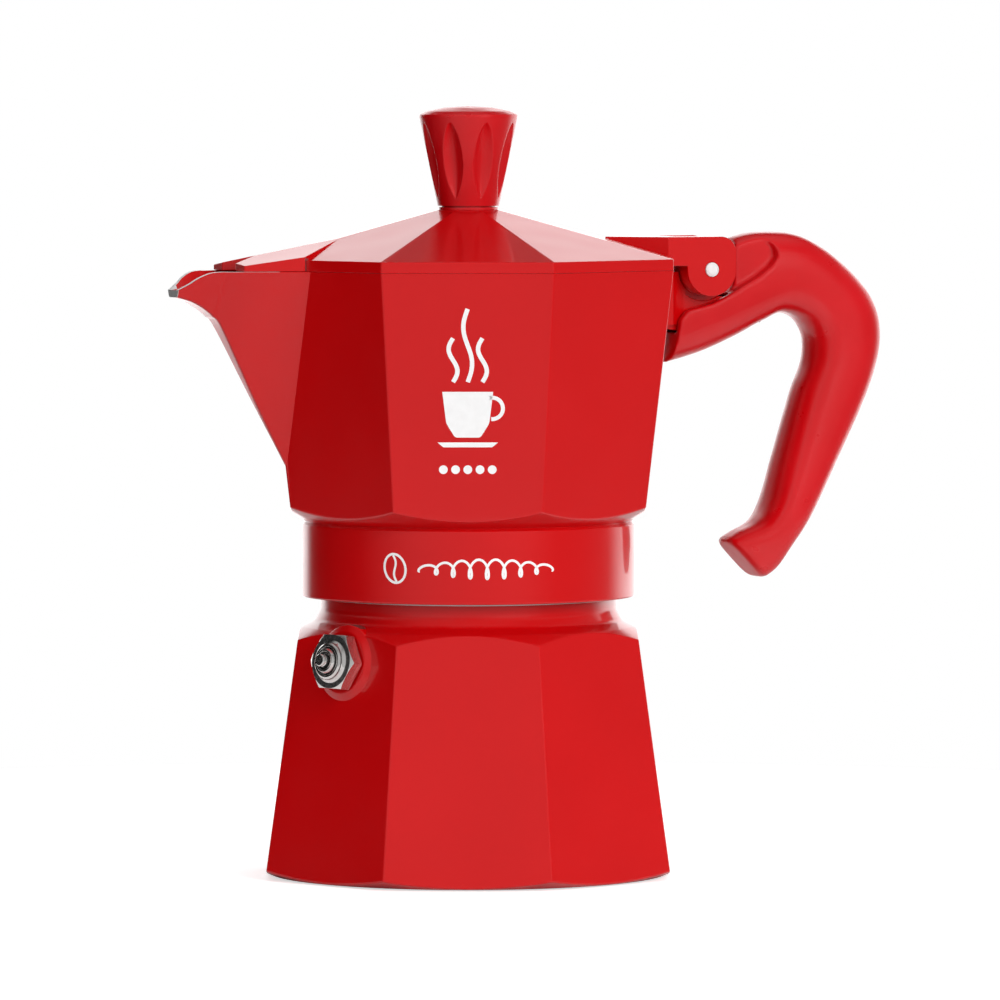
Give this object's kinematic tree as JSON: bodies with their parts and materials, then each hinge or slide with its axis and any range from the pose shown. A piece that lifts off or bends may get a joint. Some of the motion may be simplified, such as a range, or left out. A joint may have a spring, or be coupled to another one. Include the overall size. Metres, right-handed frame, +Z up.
{
  "type": "moka pot",
  "caption": "Stovetop moka pot: octagonal screw-together boiler and collector with spout, hinged lid with fluted knob, curved handle and safety valve.",
  "frame": {"origin": "centre of the boiler's flat underside, on the surface the pot stands on", "axes": "+Z up along the pot's axis, +X towards the handle, -X towards the spout"},
  "size_m": [0.1588, 0.092, 0.16],
  "materials": {
    "red_lacquer": "gloss lacquer",
    "red_plastic": "satin",
    "valve_metal": "polished nickel plate",
    "bright_steel": "polished",
    "bare_aluminium": "satin",
    "seal_rubber": "matt"
  },
  "bodies": {
    "boiler": {"boiler": "red_lacquer", "valve_body": "valve_metal", "valve_cap": "valve_metal", "valve_spring": "bright_steel"},
    "valve_plunger": {"valve_plunger": "valve_metal", "valve_seal": "seal_rubber"},
    "funnel": {"funnel": "bare_aluminium", "funnel_sieve": "bare_aluminium"},
    "seal_pack": {"gasket": "seal_rubber", "filter_plate": "bare_aluminium"},
    "collector": {"collector": "red_lacquer", "handle": "red_plastic", "handle_screw": "bright_steel", "hinge_pin": "bright_steel"},
    "lid": {"lid": "red_lacquer", "knob": "red_plastic", "knob_screw": "bright_steel"}
  },
  "joints": [
    {"name": "valve_relief", "type": "slide", "parent": "boiler", "child": "valve_plunger", "axis": [-0.9155, -0.3792, 0.1344], "range_m": [0, 0.0012], "stiffness_N_per_m": 800, "springref_m": -0.003, "deforming": ["valve_spring"]},
    {"name": "funnel_lift", "type": "slide", "parent": "boiler", "child": "funnel", "axis": [0, 0, 1], "range_m": [0, 0.0075]},
    {"name": "unscrew_lift", "type": "slide", "parent": "boiler", "child": "seal_pack", "axis": [0, 0, 1], "range_m": [0, 0.0075]},
    {"name": "unscrew_turn", "type": "hinge", "parent": "seal_pack", "child": "collector", "pos_m": [0, 0, 0], "axis": [0, 0, 1], "range_deg": [0, 900]},
    {"name": "lid_hinge", "type": "hinge", "parent": "collector", "child": "lid", "pos_m": [0.0511, 0, 0.1257], "axis": [0, 1, 0], "range_deg": [0, 90]}
  ],
  "couplings": [
    {"joint": "unscrew_lift", "follows": "unscrew_turn", "m_per_rad": 0.00047746},
    {"joint": "funnel_lift", "follows": "unscrew_turn", "m_per_rad": 0.00047746}
  ]
}
